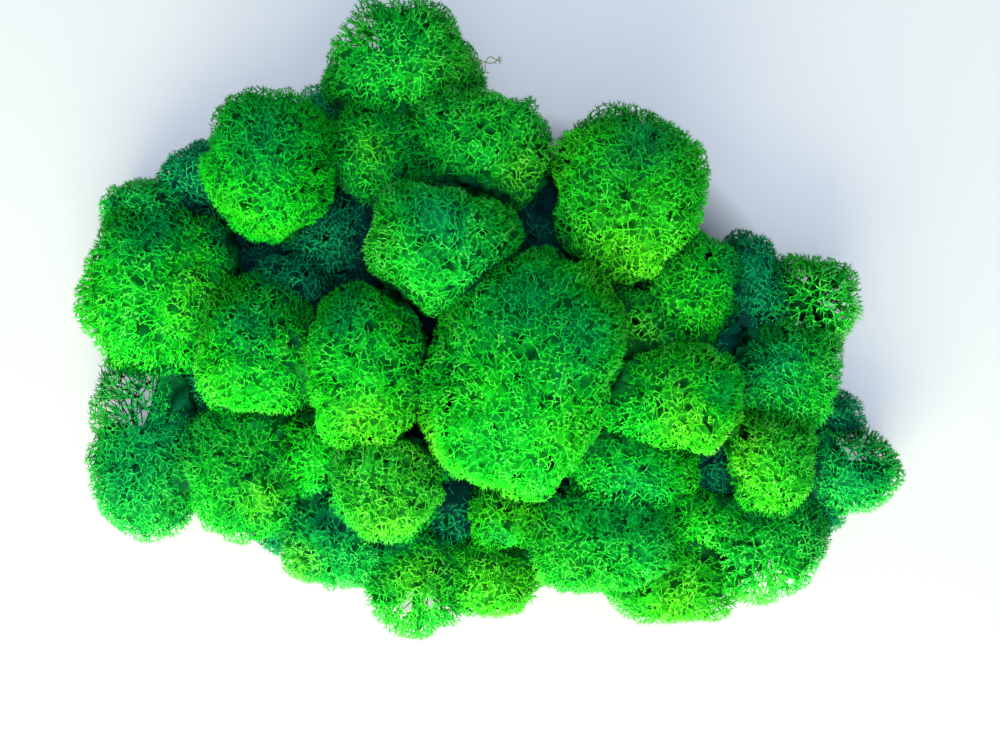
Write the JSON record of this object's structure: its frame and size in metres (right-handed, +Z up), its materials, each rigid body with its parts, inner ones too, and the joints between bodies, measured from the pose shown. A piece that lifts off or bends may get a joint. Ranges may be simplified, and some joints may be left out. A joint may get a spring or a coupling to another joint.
{
  "type": "moss clump",
  "caption": "Heap of rounded heads of dyed green reindeer moss, finely branched and springy, pressed against each other and resting flat on a surface.",
  "frame": {"origin": "on the surface that the clump rests on, under the middle of its outline", "axes": "+X along the clump's length, to the right in the picture, +Y to the back, which is the top of the picture, +Z up, towards the viewer"},
  "size_m": [0.2568, 0.1962, 0.0761],
  "materials": {
    "moss_bright_green": "matte",
    "moss_grass_green": "matte",
    "moss_yellow_green": "matte",
    "moss_blue_green": "matte",
    "moss_deep_green": "matte"
  },
  "bodies": {
    "root": {"deep_head_back": "moss_deep_green", "deep_head_back_left": "moss_deep_green", "deep_head_far_left": "moss_deep_green", "deep_head_far_right": "moss_deep_green", "deep_head_front": "moss_deep_green", "deep_head_front_far_right": "moss_deep_green", "deep_head_front_left": "moss_deep_green", "deep_head_front_right": "moss_deep_green", "deep_head_inside_back": "moss_deep_green", "deep_head_inside_back_right": "moss_deep_green", "deep_head_inside_far_right": "moss_deep_green", "deep_head_inside_front": "moss_deep_green", "deep_head_inside_front_left": "moss_deep_green", "deep_head_inside_front_right": "moss_deep_green", "deep_head_inside_left": "moss_deep_green", "deep_head_left": "moss_deep_green", "deep_head_middle": "moss_deep_green", "deep_head_middle_left": "moss_deep_green", "head_ahead_of_right": "moss_bright_green", "head_behind_all": "moss_grass_green", "head_beside_back_middle": "moss_grass_green", "head_far_right_front": "moss_yellow_green", "head_front_middle": "moss_grass_green", "head_left": "moss_bright_green", "head_right": "moss_bright_green", "largest_head": "moss_bright_green", "low_head_back_far_right": "moss_grass_green", "low_head_back_left": "moss_deep_green", "low_head_back_right": "moss_deep_green", "low_head_beside_front_left": "moss_bright_green", "low_head_far_right": "moss_blue_green", "low_head_front": "moss_blue_green", "low_head_front_edge": "moss_grass_green", "low_head_front_far_left": "moss_blue_green", "low_head_front_left": "moss_grass_green", "low_head_front_middle": "moss_yellow_green", "low_head_front_right": "moss_grass_green", "low_head_front_right_edge": "moss_yellow_green", "low_head_front_yellow": "moss_yellow_green", "low_head_inside_back": "moss_deep_green", "low_head_inside_front_right": "moss_bright_green", "low_head_inside_right": "moss_grass_green", "low_head_left_back": "moss_blue_green", "low_head_left_middle": "moss_deep_green", "low_head_left_on_side": "moss_bright_green", "low_head_right": "moss_grass_green", "tall_head_back_left": "moss_bright_green", "tall_head_back_middle": "moss_grass_green", "tall_head_back_right": "moss_yellow_green", "tall_head_front_left": "moss_grass_green", "tall_head_left": "moss_bright_green", "tall_head_middle": "moss_grass_green", "tall_head_right": "moss_bright_green"}
  },
  "joints": []
}
